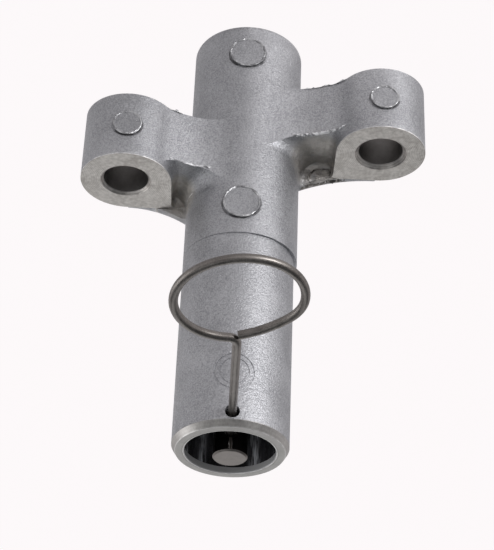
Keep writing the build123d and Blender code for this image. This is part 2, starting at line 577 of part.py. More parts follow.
def make_oil_seal_lip():
    """Rubber of the oil seal: a base under the flange and a lip that points to the oil."""
    base_top = SNAP_RING_Z - SEAL_CASE_WALL
    base_low = base_top - SEAL_BASE_THICKNESS
    tip_z = base_top - SEAL_LIP_LENGTH
    lip_radius = ROD_RADIUS + SEAL_LIP_CLEARANCE
    neck_radius = lip_radius + SEAL_LIP_RELIEF
    back_radius = neck_radius + SEAL_LIP_THICKNESS
    shape = turned([
        (neck_radius, base_top), (neck_radius, tip_z + 2 * SEAL_LIP_RELIEF + SEAL_LIP_BAND),
        (lip_radius, tip_z + SEAL_LIP_RELIEF + SEAL_LIP_BAND), (lip_radius, tip_z + SEAL_LIP_RELIEF),
        (neck_radius, tip_z), (back_radius, tip_z), (back_radius, base_low),
        (SEAT_RADIUS - SEAL_CASE_WALL, base_low), (SEAT_RADIUS - SEAL_CASE_WALL, base_top),
    ])
    groove = Torus(back_radius + GARTER_CLEARANCE, GARTER_SECTION_RADIUS + GARTER_CLEARANCE)
    return shape - Pos(0, 0, tip_z + GARTER_RISE) * groove


def make_garter_spring():
    """Ring spring that holds the lip to the rod, in the groove round the lip."""
    back_radius = ROD_RADIUS + SEAL_LIP_CLEARANCE + SEAL_LIP_RELIEF + SEAL_LIP_THICKNESS
    tip_z = SNAP_RING_Z - SEAL_CASE_WALL - SEAL_LIP_LENGTH
    return Pos(0, 0, tip_z + GARTER_RISE) * Torus(back_radius + GARTER_CLEARANCE, GARTER_SECTION_RADIUS)


def make_seal_retaining_ring():
    """Snap ring above the oil seal, open at the back, with an eye at each end."""
    top_z = SNAP_RING_Z + SNAP_RING_THICKNESS
    shape = ring(SNAP_RING_INNER_RADIUS, SNAP_GROOVE_RADIUS - SNAP_RING_FIT, SNAP_RING_Z, top_z)
    half_gap = SNAP_RING_GAP_ANGLE / 2
    reach = 2 * SNAP_GROOVE_RADIUS
    side = reach * sin(radians(half_gap))
    wedge = make_face(Polyline((0, 0), (reach, side), (reach, -side), close=True))
    shape -= slab(Rot(0, 0, SNAP_RING_GAP_PLACE) * wedge, SNAP_RING_Z - CUT_MARGIN, top_z + CUT_MARGIN)
    for turn in (SNAP_RING_GAP_PLACE - half_gap, SNAP_RING_GAP_PLACE + half_gap):
        lug_place = Rot(0, 0, turn) * Pos(SNAP_RING_LUG_CIRCLE, 0, 0)
        shape += lug_place * disc(SNAP_RING_LUG_RADIUS, SNAP_RING_Z, top_z)
        shape -= lug_place * disc(SNAP_RING_EYE_RADIUS, SNAP_RING_Z - CUT_MARGIN, top_z + CUT_MARGIN)
    return shape


def make_release_pin():
    """Release pin: a straight leg in the rod, a slight sag, a tight bend and a nearly closed ring."""
    tip_y = PIN_TIP_DEPTH - ROD_RADIUS
    leg_end_y = tip_y - LEG_STRAIGHT_LENGTH
    leg = Line((0, tip_y, PIN_Z), (0, leg_end_y, PIN_Z))
    sag = Plane.YZ * JernArc((leg_end_y, PIN_Z), (-1, 0), LEG_SAG_RADIUS, LEG_SAG_ANGLE)
    bend_start = sqrt(RING_RADIUS**2 + 2 * RING_RADIUS * RING_BEND_RADIUS)
    bend_turn = degrees(acos(RING_BEND_RADIUS / (RING_RADIUS + RING_BEND_RADIUS)))
    loop_turn = bend_turn + 360 - SHOULDER_PLACE_ANGLE
    ring_turn = Rot(LEG_SAG_ANGLE, 0, 0) * Rot(0, -RING_ROLL_ANGLE, 0)
    ring_place = Pos(sag @ 1) * ring_turn * Pos(0, -bend_start, 0)
    bend = JernArc((0, bend_start), (0, -1), RING_BEND_RADIUS, bend_turn)
    loop = JernArc(bend @ 1, bend % 1, RING_RADIUS, -loop_turn)
    shoulder = JernArc(loop @ 1, loop % 1, SHOULDER_RADIUS, -SHOULDER_TURN)
    closing = TangentArc(shoulder @ 1, (-RING_END_SIDE, RING_END_REACH), tangent=shoulder % 1)
    in_ring = [(ring_place * arc).edge() for arc in (bend, loop, shoulder, closing)]
    path = Wire([leg.edge(), sag.edge(), *in_ring])
    return sweep(Plane(path @ 0, z_dir=path % 0) * Circle(WIRE_RADIUS), path=path)


os.makedirs("parts", exist_ok=True)
export_step(make_housing(), "parts/housing.step")
export_step(make_cylinder_sleeve(), "parts/cylinder_sleeve.step")
export_step(make_sleeve_o_ring(), "parts/sleeve_o_ring.step")
export_step(make_plunger(), "parts/plunger.step")
export_step(make_check_ball(), "parts/check_ball.step")
export_step(make_check_ball_spring(), "parts/check_ball_spring.step")
export_step(make_check_ball_cage(), "parts/check_ball_cage.step")
export_step(make_return_spring(), "parts/return_spring.step")
export_step(make_push_rod(), "parts/push_rod.step")
export_step(make_wear_ring(), "parts/wear_ring.step")
export_step(make_rod_guide(), "parts/rod_guide.step")
export_step(make_seal_backup_washer(), "parts/seal_backup_washer.step")
export_step(make_oil_seal_case(), "parts/oil_seal_case.step")
export_step(make_oil_seal_lip(), "parts/oil_seal_lip.step")
export_step(make_garter_spring(), "parts/garter_spring.step")
export_step(make_seal_retaining_ring(), "parts/seal_retaining_ring.step")
export_step(make_release_pin(), "parts/release_pin.step")
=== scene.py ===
# %% [markdown]
# Timing belt tensioner: the looks
#
# The real object is a die-cast aluminium cylinder with two bolt ears. A steel push rod sits in
# its open mouth, and a ring made of spring wire pins that rod down until the part is fitted.
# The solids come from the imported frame. This lesson gives them metal, rubber and plastic that
# hold up close, adds the ragged flash that the casting dies leave, and sets the camera, the
# floor and the lamps.

# %% Load the frame
import bpy
import json
import numpy as np
from mathutils import Matrix, Vector


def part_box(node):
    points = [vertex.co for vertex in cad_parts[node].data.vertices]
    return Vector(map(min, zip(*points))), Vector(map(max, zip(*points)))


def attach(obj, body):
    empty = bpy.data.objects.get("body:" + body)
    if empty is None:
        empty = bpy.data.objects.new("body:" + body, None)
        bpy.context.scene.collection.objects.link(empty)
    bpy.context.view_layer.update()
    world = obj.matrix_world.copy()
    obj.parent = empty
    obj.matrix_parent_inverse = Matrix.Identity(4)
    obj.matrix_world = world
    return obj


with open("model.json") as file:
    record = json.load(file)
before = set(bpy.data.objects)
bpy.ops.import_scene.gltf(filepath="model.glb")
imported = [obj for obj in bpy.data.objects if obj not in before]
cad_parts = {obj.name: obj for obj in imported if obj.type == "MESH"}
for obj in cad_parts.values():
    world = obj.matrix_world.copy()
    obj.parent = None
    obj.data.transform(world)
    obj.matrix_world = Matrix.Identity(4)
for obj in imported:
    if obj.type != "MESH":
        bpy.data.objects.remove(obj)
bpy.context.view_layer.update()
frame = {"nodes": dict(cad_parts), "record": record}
record = frame["record"]
MM = 0.001


def in_mm(values):
    """Lengths in metres as rounded millimetres, for printing."""
    return [round(value / MM, 2) for value in values]


# %% [markdown]
# Camera
#
# The photograph looks at the front of the casting from above its mouth, and the picture is
# upside down: the mouth points down in it. A camera is a place and three directions, so both
# are written as one matrix. They come from fitting the two bolt holes, the mouth and the
# cylinder's edges, and so does the lens: a long one, from about a third of a metre.

# %% Camera
CAMERA_PLACE = Vector((0.002703, -0.286788, 0.240652))
CAMERA_RIGHT = Vector((-0.9987, -0.0378, -0.0342))
CAMERA_UP = Vector((0.0493, -0.5401, -0.8401))
LENS_LENGTH = 110.98
FILM_HEIGHT = 36.0
CLIP_NEAR = 0.01
CLIP_FAR = 20.0

camera_data = bpy.data.cameras.new("camera")
camera_data.sensor_fit = "VERTICAL"
camera_data.sensor_height = FILM_HEIGHT
camera_data.lens = LENS_LENGTH
camera_data.clip_start = CLIP_NEAR
camera_data.clip_end = CLIP_FAR
camera = bpy.data.objects.new("camera", camera_data)
bpy.context.scene.collection.objects.link(camera)

back = CAMERA_RIGHT.cross(CAMERA_UP).normalized()
right = CAMERA_RIGHT.normalized()
up = back.cross(right).normalized()
turn = Matrix((right, up, back)).transposed().to_4x4()
camera.matrix_world = Matrix.Translation(CAMERA_PLACE) @ turn
bpy.context.scene.camera = camera
print("camera looks along", [round(value, 3) for value in -back])

# %% [markdown]
# Node helpers
#
# A procedural material is a small program made of nodes. Short helpers keep the programs
# readable: one adds a node, one adds a sum, one spreads a value between two limits, and so on.
# Every pattern reads Object coordinates in metres, so its scale is the real one, and it stays
# on the piece when the piece moves.

# %% Sums
def add(tree, kind, inputs=None, **settings):
    """One node. inputs gives sockets a number or another node's output; settings its choices."""
    made = tree.nodes.new(kind)
    for name, value in settings.items():
        setattr(made, name, value)
    for name, value in (inputs or {}).items():
        if isinstance(value, bpy.types.NodeSocket):
            tree.links.new(value, made.inputs[name])
        else:
            made.inputs[name].default_value = value
    return made


def calc(tree, operation, first, second=0.0, third=0.0, clamp=False):
    """Output of one Math node."""
    inputs = {0: first, 1: second, 2: third}
    return add(tree, "ShaderNodeMath", inputs, operation=operation, use_clamp=clamp).outputs[0]


def product(tree, first, *others):
    """All the values multiplied: of masks, the part that lies in every one."""
    for other in others:
        first = calc(tree, "MULTIPLY", first, other)
    return first


def largest(tree, first, *others):
    """The largest of the values: of masks, the part that lies in any one."""
    for other in others:
        first = calc(tree, "MAXIMUM", first, other)
    return first


def spread(tree, value, low, high, to_low=0.0, to_high=1.0):
    """The value carried smoothly from one pair of limits to another: an S curve."""
    inputs = {"Value": value, "From Min": low, "From Max": high}
    inputs.update({"To Min": to_low, "To Max": to_high})
    made = add(tree, "ShaderNodeMapRange", inputs, interpolation_type="SMOOTHSTEP")
    return made.outputs["Result"]


def line_at(tree, value, centre, inner, outer):
    """1 where a value lies within inner of a centre, falling smoothly to 0 at outer."""
    off = calc(tree, "ABSOLUTE", calc(tree, "SUBTRACT", value, centre))
    return spread(tree, off, inner, outer, 1.0, 0.0)


def number_mix(tree, share, first, second):
    """Number that goes from the first to the second as share goes from 0 to 1."""
    return add(tree, "ShaderNodeMix", {"Factor": share, 2: first, 3: second}).outputs[0]


def blend(tree, share, first, second):
    """Colour that goes from the first to the second as share goes from 0 to 1."""
    made = add(tree, "ShaderNodeMix", {"Factor": share}, data_type="RGBA")
    for socket, value in ((made.inputs[6], first), (made.inputs[7], second)):
        if isinstance(value, bpy.types.NodeSocket):
            tree.links.new(value, socket)
        else:
            socket.default_value = (*value, 1.0)
    return made.outputs[2]


print("sums ready")

# %% Places and patterns
ROUND_UPRIGHT = (1.0, 1.0, 0.0)
ROUND_FRONTAL = (1.0, 0.0, 1.0)
ALL_AXES = (1.0, 1.0, 1.0)


def part_of(tree, vector, axis):
    """One part of a vector: X, Y or Z."""
    return add(tree, "ShaderNodeSeparateXYZ", {0: vector}).outputs[axis]


def distance_to(tree, place, point, axes):
    """Distance to a point, counting only the axes marked 1: with two of them, to a line."""
    offset = add(tree, "ShaderNodeVectorMath", {0: place, 1: point}, operation="SUBTRACT")
    kept_inputs = {0: offset.outputs[0], 1: axes}
    kept = add(tree, "ShaderNodeVectorMath", kept_inputs, operation="MULTIPLY").outputs[0]
    return add(tree, "ShaderNodeVectorMath", {0: kept}, operation="LENGTH").outputs["Value"]


def grain(tree, place, size, detail=2.0, roughness=0.5):
    """Noise from 0 to 1 whose features are about size metres across."""
    inputs = {"Vector": place, "Scale": 1.0 / size, "Detail": detail, "Roughness": roughness}
    return add(tree, "ShaderNodeTexNoise", inputs).outputs["Fac"]


def stretched(tree, place, stretch, size, detail=3.0):
    """Noise pulled out along the axes whose stretch number is small."""
    scaled = add(tree, "ShaderNodeMapping", {"Vector": place, "Scale": stretch}).outputs[0]
    return grain(tree, scaled, size, detail=detail)


print("patterns ready")

# %% Starting a material
def start_material(name):
    """Empty node material with its shader, and the Object coordinates its patterns read."""
    material = bpy.data.materials.new(name)
    material.use_nodes = True
    tree = material.node_tree
    tree.nodes.clear()
    shader = add(tree, "ShaderNodeBsdfPrincipled")
    output = add(tree, "ShaderNodeOutputMaterial")
    tree.links.new(shader.outputs["BSDF"], output.inputs["Surface"])
    place = add(tree, "ShaderNodeTexCoord").outputs["Object"]
    return material, tree, shader, place


def bumps(tree, shader, height, depth):
    """Turns a height from 0 to 1 into relief that is depth metres high."""
    inputs = {"Height": height, "Distance": depth, "Strength": 1.0}
    normal = add(tree, "ShaderNodeBump", inputs).outputs["Normal"]
    tree.links.new(normal, shader.inputs["Normal"])


def seen_directly(tree, camera_share=1.0, gloss_share=1.0):
    """Share of its shown colour that a surface gives to camera and mirrored rays; others get 0."""
    path = add(tree, "ShaderNodeLightPath")
    to_camera = product(tree, path.outputs["Is Camera Ray"], camera_share)
    reflected = largest(tree, path.outputs["Is Glossy Ray"], path.outputs["Is Transmission Ray"])
    return calc(tree, "MULTIPLY_ADD", reflected, gloss_share, to_camera)


print("helpers ready")

# %% [markdown]
# Floor and lamps
#
# The photograph has a plain, nearly white ground. The floor is a flat sheet under the closed
# end. Rays from the camera and mirrored rays see its pale colour; soft light sees an ordinary
# lit floor, so the object's shadow falls on it. The camera looks down, so an upright metal wall
# mirrors the floor in front of it. The long light band on the cylinder is therefore a part of
# the floor: one sector of it, to the photo's right, is mirrored at full strength and the rest
# is dimmer. Four lamps add the rest: a low key on the band's side, a fill opposite, a weak one
# in front of the mouth, and a high one behind the object that the machined faces mirror.

# %% Floor sheet
FLOOR_HALF = 1.5

corners = np.array([[-1, -1, 0], [1, -1, 0], [1, 1, 0], [-1, 1, 0]]) * FLOOR_HALF
floor_mesh = bpy.data.meshes.new("floor")
floor_mesh.from_pydata(corners.tolist(), [], [(0, 1, 2, 3)])
floor = bpy.data.objects.new("floor", floor_mesh)
bpy.context.scene.collection.objects.link(floor)
print("floor is", 2 * FLOOR_HALF, "metres across")

# %% Floor material
PALE = (0.985, 0.951, 0.959)
FLOOR_PAINT = (0.85, 0.83, 0.835)
SHOWN_TO_CAMERA = 0.99
DIM_IN_GLOSS = 0.29
BRIGHT_IN_GLOSS = 1.0
SECTOR_START = 0.032
SECTOR_ENTERS = np.radians((24, 46))
SECTOR_LEAVES = np.radians((62, 92))
SECTOR_FADES = (0.06, 0.16)
SECTOR_FAR_SHARE = 0.74


def bright_sector(tree, place):
    """1 in the sector that the cylinder mirrors as a light band: two bearings and a distance."""
    left = product(tree, part_of(tree, place, "X"), -1.0)
    front = product(tree, part_of(tree, place, "Y"), -1.0)
    front_of_start = calc(tree, "SUBTRACT", front, SECTOR_START)
    enters = spread(tree, calc(tree, "ARCTAN2", left, front_of_start), *SECTOR_ENTERS)
    leaves = spread(tree, calc(tree, "ARCTAN2", left, front), *SECTOR_LEAVES, 1.0, 0.0)
    distance = distance_to(tree, place, (0.0, 0.0, 0.0), ALL_AXES)
    fades = spread(tree, distance, *SECTOR_FADES, 1.0, SECTOR_FAR_SHARE)
    return product(tree, enters, leaves, fades)


floor_material = bpy.data.materials.new("pale_floor")
floor_material.use_nodes = True
tree = floor_material.node_tree
tree.nodes.clear()
lit = add(tree, "ShaderNodeBsdfDiffuse", {"Color": (*FLOOR_PAINT, 1.0)}).outputs[0]
shown = add(tree, "ShaderNodeEmission", {"Color": (*PALE, 1.0), "Strength": 1.0}).outputs[0]
sector = bright_sector(tree, add(tree, "ShaderNodeTexCoord").outputs["Object"])
in_gloss = calc(tree, "MULTIPLY_ADD", sector, BRIGHT_IN_GLOSS - DIM_IN_GLOSS, DIM_IN_GLOSS)
show_share = seen_directly(tree, SHOWN_TO_CAMERA, in_gloss)
mixed = add(tree, "ShaderNodeMixShader", {0: show_share, 1: lit, 2: shown}).outputs[0]
add(tree, "ShaderNodeOutputMaterial", {"Surface": mixed})
floor_mesh.materials.append(floor_material)
print("made", floor_material.name, "with", len(tree.nodes), "nodes")

# %% World
WORLD_LIGHT = (0.300, 0.300, 0.306)
OVERHEAD = (0.130, 0.135, 0.140)
SKY_DARKENS = (0.12, 0.45)

world = bpy.data.worlds.new("studio")
bpy.context.scene.world = world
world.use_nodes = True
tree = world.node_tree
tree.nodes.clear()
climb = part_of(tree, add(tree, "ShaderNodeTexCoord").outputs["Generated"], "Z")
sky_shown = blend(tree, spread(tree, climb, *SKY_DARKENS), PALE, OVERHEAD)
sky = blend(tree, seen_directly(tree), WORLD_LIGHT, sky_shown)
background = add(tree, "ShaderNodeBackground", {"Color": sky, "Strength": 1.0}).outputs[0]
add(tree, "ShaderNodeOutputWorld", {"Surface": background})
print("made", world.name)

# %% Lamps
SUBJECT = Vector((-0.002, -0.01, 0.055))
LAMPS = (
    # name, direction from the object, distance, width and height in metres, power in watts
    ("key_lamp", (-0.68, -0.73, -0.04), 0.50, 0.15, 0.06, 1.45),
    ("fill_lamp", (0.95, 0.10, 0.30), 0.80, 0.50, 0.50, 1.40),
    ("front_lamp", (0.40, -0.45, 0.80), 0.60, 0.45, 0.20, 0.25),
    ("top_lamp", (0.05, 0.80, 0.56), 0.90, 0.60, 0.60, 1.10),
)


def soft_lamp(name, towards, distance, width, height, power):
    """Rectangular area lamp at a distance from the object along a direction, facing it."""
    data = bpy.data.lights.new(name, "AREA")
    data.shape = "RECTANGLE"
    data.size = width
    data.size_y = height
    data.energy = power
    lamp = bpy.data.objects.new(name, data)
    bpy.context.scene.collection.objects.link(lamp)
    offset = Vector(towards).normalized() * distance
    lamp.location = SUBJECT + offset
    lamp.visible_camera = False
    lamp.rotation_euler = offset.to_track_quat("Z", "Y").to_euler()
    print(name, "at", [round(value, 2) for value in lamp.location])


for lamp_numbers in LAMPS:
    soft_lamp(*lamp_numbers)

# %% [markdown]
# Where the casting is machined
#
# Most of the housing keeps its cast skin. The two ear faces, the bolt holes and the mouth with
# its bore are cut after casting, and look quite different: warm, smoother, with fine rings from
# the tool. Masks tell the material where it is. The ears come from the record's mounts and the
# mouth from the housing's box, so they follow the solids. All of an ear lies within EAR_REACH of
# its bolt's axis.

# %% Places on the housing
mounts = {mount["name"]: mount for mount in record["mounts"]}
bolts = mounts["ear_bolts"]
half_spacing = bolts["dims"]["spacing_x_mm"] * MM / 2
hole_radius = bolts["dims"]["hole_r_mm"] * MM
bolt_x, bolt_y = bolts["pos_m"][:2]
ears = [
    (bolt_x + half_spacing, bolt_y, mounts["upper_ear_face"]["pos_m"][2]),
    (bolt_x - half_spacing, bolt_y, mounts["lower_ear_face"]["pos_m"][2]),
]
mouth_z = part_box("housing")[1][2]
print("ears at", [in_mm(ear) for ear in ears], "and mouth at", in_mm([mouth_z]))

# %% Masks
EAR_REACH = 14.0 * MM
FACE_TOLERANCE = 0.06 * MM
HOLE_MARGIN = 0.95 * MM
BORE_RADIUS = 9.8 * MM
BORE_FLOOR = 1.0 * MM
MOUTH_CUT_LENGTH = 1.35 * MM
LEAD_IN_LENGTH = 1.30 * MM
END_FACE_DEPTH = 0.05 * MM


def machined_masks(tree, place):
    """Masks of the machined surfaces by name, and the radius round the nearest of three axes."""
    height = part_of(tree, place, "Z")
    axis_radius = distance_to(tree, place, (0.0, 0.0, 0.0), ROUND_UPRIGHT)
    radius, faces, holes = axis_radius, 0.0, 0.0
    for x, y, z in ears:
        ear_radius = distance_to(tree, place, (x, y, 0.0), ROUND_UPRIGHT)
        on_ear = calc(tree, "LESS_THAN", ear_radius, EAR_REACH)
        at_face = calc(tree, "COMPARE", height, z, FACE_TOLERANCE)
        faces = largest(tree, faces, product(tree, at_face, on_ear))
        in_hole = calc(tree, "LESS_THAN", ear_radius, hole_radius + HOLE_MARGIN)
        holes = largest(tree, holes, in_hole)
        radius = number_mix(tree, on_ear, radius, ear_radius)
    inside = calc(tree, "LESS_THAN", axis_radius, BORE_RADIUS)
    above_floor = calc(tree, "GREATER_THAN", height, BORE_FLOOR)
    below_lead_in = calc(tree, "LESS_THAN", height, mouth_z - LEAD_IN_LENGTH)
    above_bore = calc(tree, "GREATER_THAN", height, mouth_z - LEAD_IN_LENGTH)
    below_end = calc(tree, "LESS_THAN", height, mouth_z - END_FACE_DEPTH)
    return {
        "radius": radius,
        "faces": faces,
        "holes": product(tree, holes, calc(tree, "SUBTRACT", 1.0, faces)),
        "mouth": calc(tree, "GREATER_THAN", height, mouth_z - MOUTH_CUT_LENGTH),
        "end_face": calc(tree, "GREATER_THAN", height, mouth_z - END_FACE_DEPTH),
        "lead_in": product(tree, inside, above_bore, below_end),
        "bore": product(tree, inside, above_floor, below_lead_in),
    }


print("masks ready")

# %% [markdown]
# Cast skin and tool marks
#
# A blasted die casting is a rough metal. Under the eye it is a mass of fine light and dark
# grains a third of a millimetre across, over slow clouds where the metal flowed. Two noises
# make the grains and their relief, a third makes the clouds, and a cell pattern adds a few
# small pits. A machined surface is smoother and warmer, with circles round its axis that the
# tool left, a wave of the radius that noise breaks up.

# %% Cast skin
CAST_DARK = (0.286, 0.290, 0.306)
CAST_LIGHT = (0.482, 0.486, 0.506)
GRAIN_SIZE = 0.31 * MM
CLUMP_SIZE = 0.80 * MM
CLOUD_SIZE = 7.0 * MM
PIT_SPACING = 2.6 * MM


def cast_skin(tree, place):
    """(colour, height, roughness) of the blasted skin."""
    fine = grain(tree, place, GRAIN_SIZE, roughness=0.6)
    coarse = grain(tree, place, CLUMP_SIZE)
    cloud = grain(tree, place, CLOUD_SIZE, detail=3.0)
    speckle = calc(tree, "MULTIPLY_ADD", fine, 0.54, product(tree, coarse, 0.12))
    tone = spread(tree, calc(tree, "MULTIPLY_ADD", cloud, 0.22, speckle), 0.30, 0.58)
    colour = blend(tree, tone, CAST_DARK, CAST_LIGHT)
    cell_inputs = {"Vector": place, "Scale": 1.0 / PIT_SPACING, "Randomness": 1.0}
    cells = add(tree, "ShaderNodeTexVoronoi", cell_inputs)
    pits = spread(tree, cells.outputs["Distance"], 0.02, 0.08)
    relief = calc(tree, "MULTIPLY_ADD", fine, 0.75, product(tree, coarse, 0.25))
    roughness = spread(tree, cloud, 0.25, 0.75, 0.47, 0.55)
    return colour, product(tree, relief, pits), roughness


print("cast skin: grains, clumps and clouds of", in_mm([GRAIN_SIZE, CLUMP_SIZE, CLOUD_SIZE]), "mm")

# %% Tool marks
CUT_DARK = (0.270, 0.253, 0.237)
CUT_LIGHT = (0.610, 0.586, 0.560)
TOOL_PITCH = 0.34 * MM
TOOL_WOBBLE = 0.25 * MM


def tool_marks(tree, place, radius):
    """(colour, height, roughness) of a turned or faced surface: fine rings, broken up by noise."""
    rings = calc(tree, "MULTIPLY_ADD", grain(tree, place, 1.6 * MM), TOOL_WOBBLE, radius)
    wave = calc(tree, "SINE", product(tree, rings, 2.0 * np.pi / TOOL_PITCH))
    streak = grain(tree, place, 3.0 * MM, detail=4.0)
    blotch = grain(tree, place, 0.7 * MM)
    tone = calc(tree, "MULTIPLY_ADD", streak, 0.65, product(tree, blotch, 0.35))
    tone = calc(tree, "MULTIPLY_ADD", wave, 0.06, tone, clamp=True)
    colour = blend(tree, spread(tree, tone, 0.30, 0.72), CUT_DARK, CUT_LIGHT)
    height = calc(tree, "MULTIPLY_ADD", wave, 0.5, 0.5)
    roughness = spread(tree, streak, 0.30, 0.70, 0.36, 0.50)
    return colour, height, roughness


print("tool marks:", in_mm([TOOL_PITCH]), "mm from ring to ring")

# %% [markdown]
# Wear, dirt, and painted light and shade
#
# Use and machining leave smaller marks, and each is one more layer: old oil in the pockets
# behind the ears and long scratches round the mouth. Painted light and shade are layers too: the
# bore is painted darker as shade and has painted glints for its upright reflections, the mouth's
# end face gets painted shade and two circles of painted highlight with one of painted shade, each
# ear face a painted highlight along its edge, each ejector pad painted shade on its face and a
# painted shade line round it, the bolt-hole walls painted shade and the lead-in a painted
# highlight. A layer is a pair of a share and a colour, laid over what is below it.

# %% Oil, and the bore's painted shade and painted glints
GRIME_LIGHT = (0.535, 0.515, 0.490)
GRIME_DARK = (0.440, 0.420, 0.395)
# Painted shade: the bore is darker than the other cut metal; painted glints stand for its
# reflections.
BORE_PAINTED_SHADE = (0.260, 0.260, 0.275)
BORE_PAINTED_GLINT = (0.700, 0.720, 0.760)
POCKETS = (
    # centre and reach in metres
    ((-0.0158, -0.0040, 0.0292), 0.0078),
    ((0.0132, -0.0030, 0.0395), 0.0060),
)
POCKET_CORE = 0.55
BORE_GLINT_BEARINGS = (
    # bearing and half width in degrees
    (52, 10), (124, 13), (84, 5), (20, 6),
)


def grime(tree, place):
    """1 in the two pockets behind the ears, where old oil stays, and 0 outside them."""
    share = 0.0
    for centre, reach in POCKETS:
        away = distance_to(tree, place, centre, ALL_AXES)
        oily = spread(tree, away, POCKET_CORE * reach, reach, 1.0, 0.0)
        share = largest(tree, share, oily)
    patchy = spread(tree, grain(tree, place, 1.4 * MM, detail=3.0), 0.25, 0.55, 0.5, 1.0)
    return product(tree, share, patchy)


def grime_colour(tree, place):
    """Thin and thick oil, mixed by a coarse noise."""
    thick = spread(tree, grain(tree, place, 2.2 * MM, detail=4.0, roughness=0.6), 0.42, 0.62)
    return blend(tree, thick, GRIME_LIGHT, GRIME_DARK)


def bore_glints(tree, place):
    """Painted glints in the bore, from 0 to 1: noise that is long in Z, near four bearings."""
    bearing = calc(tree, "ARCTAN2", part_of(tree, place, "Y"), part_of(tree, place, "X"))
    share = 0.0
    for degrees, half_width in BORE_GLINT_BEARINGS:
        near = line_at(tree, bearing, np.radians(degrees), 0.0, np.radians(half_width))
        share = largest(tree, share, near)
    broken = stretched(tree, place, (1.0, 1.0, 0.12), 0.5 * MM, detail=2.0)
    return product(tree, share, spread(tree, broken, 0.30, 0.60))


print("oil in", len(POCKETS), "pockets, streaks at", [degrees for degrees, _ in BORE_GLINT_BEARINGS], "degrees")

# %% Mouth
MOUTH_DARK = (0.285, 0.279, 0.272)
MOUTH_LIGHT = (0.400, 0.394, 0.386)
# Painted shade: the flat end face, which faces up to the lamps, is painted darker.
MOUTH_FACE_PAINTED_SHADE = (0.150, 0.147, 0.143)
MOUTH_SHARE = 0.75
MOUTH_FACE_SHADE_SHARE = 0.32
# Painted highlight: two light circles on the end face's edges; painted shade: a dark circle
# between.
MOUTH_PAINTED_LINES = (
    # radius, half width, colour
    (8.82 * MM, 0.15 * MM, (0.700, 0.695, 0.685)),
    (9.12 * MM, 0.12 * MM, (0.210, 0.206, 0.200)),
    (10.45 * MM, 0.11 * MM, (0.520, 0.515, 0.508)),
)


def mouth_layers(tree, place, masks):
    """(layers of the mouth, its roughness): long scratches, painted shade on the end face, and
    circles of painted highlight and painted shade.
    """
    scratched = stretched(tree, place, (1.0, 1.0, 0.10), 0.26 * MM)
    scratched = spread(tree, scratched, 0.25, 0.75)
    scratch_colour = blend(tree, scratched, MOUTH_DARK, MOUTH_LIGHT)
    layers = [
        (product(tree, masks["mouth"], MOUTH_SHARE), scratch_colour),
        (product(tree, masks["end_face"], MOUTH_FACE_SHADE_SHARE), MOUTH_FACE_PAINTED_SHADE),
    ]
    # Noise that breaks up the circles of painted highlight and painted shade.
    worn = spread(tree, grain(tree, place, 1.1 * MM), 0.30, 0.60, 0.35, 1.0)
    for line_radius, half_width, colour in MOUTH_PAINTED_LINES:
        line = line_at(tree, masks["radius"], line_radius, 0.5 * half_width, half_width)
        layers.append((product(tree, masks["mouth"], line, worn), colour))
    return layers, number_mix(tree, scratched, 0.36, 0.46)


print("worn circles at radii of", in_mm([line[0] for line in MOUTH_PAINTED_LINES]), "mm")

# %% Painted highlight on the ear edges, and painted shade on the ejector pads
# Painted highlight: a pale band along the edge of each ear face.
EAR_EDGE_PAINTED_HIGHLIGHT = (0.780, 0.775, 0.770)
EAR_RADIUS = 9.15 * MM
EDGE_DROP = 0.16 * MM
EDGE_CORE = 0.07 * MM
EDGE_FADE = 0.16 * MM
EDGE_INSET = 0.30 * MM
# Painted shade: a thin dark line round each pad, where its raised side would be in shade.
PAD_LINE_PAINTED_SHADE = (0.110, 0.110, 0.115)
# Painted shade: the pads' faces, which catch much of the key lamp, are painted darker.
PAD_FACE_PAINTED_SHADE = (0.190, 0.192, 0.200)
PAD_FACE_SHADE_SHARE = 0.22
GAP_OFFSET = 0.10
GAP_CORE = 0.10 * MM
GAP_FADE = 0.26 * MM
FRONT_Y = -9.0 * MM
PADS = (
    # name of the rim, centre and radius in millimetres, seed
    ("pad_rim_low", (0.0, -11.85, 7.8), 3.75, 31),
    ("pad_rim_middle", (0.0, -11.85, 46.2), 3.75, 37),
    ("pad_rim_upper_ear", (23.5, -18.1, 32.875), 2.9, 41),
    ("pad_rim_lower_ear", (-28.1, -18.1, 22.975), 2.9, 43),
)


def ear_edge_highlight(tree, place):
    """Painted highlight on the narrow rounded edge between an ear's cast side and its machined
    face: 1 there.
    """
    height = part_of(tree, place, "Z")
    share = 0.0
    for x, y, z in ears:
        ear_radius = distance_to(tree, place, (x, y, 0.0), ROUND_UPRIGHT)
        at_top = line_at(tree, height, z - EDGE_DROP, EDGE_CORE, EDGE_FADE)
        outside = calc(tree, "GREATER_THAN", ear_radius, EAR_RADIUS - EDGE_INSET)
        on_ear = calc(tree, "LESS_THAN", ear_radius, EAR_REACH)
        share = largest(tree, share, product(tree, at_top, outside, on_ear))
    # Noise that breaks up the painted highlight.
    worn = spread(tree, grain(tree, place, 1.2 * MM), 0.35, 0.60, 0.25, 1.0)
    return product(tree, share, worn)


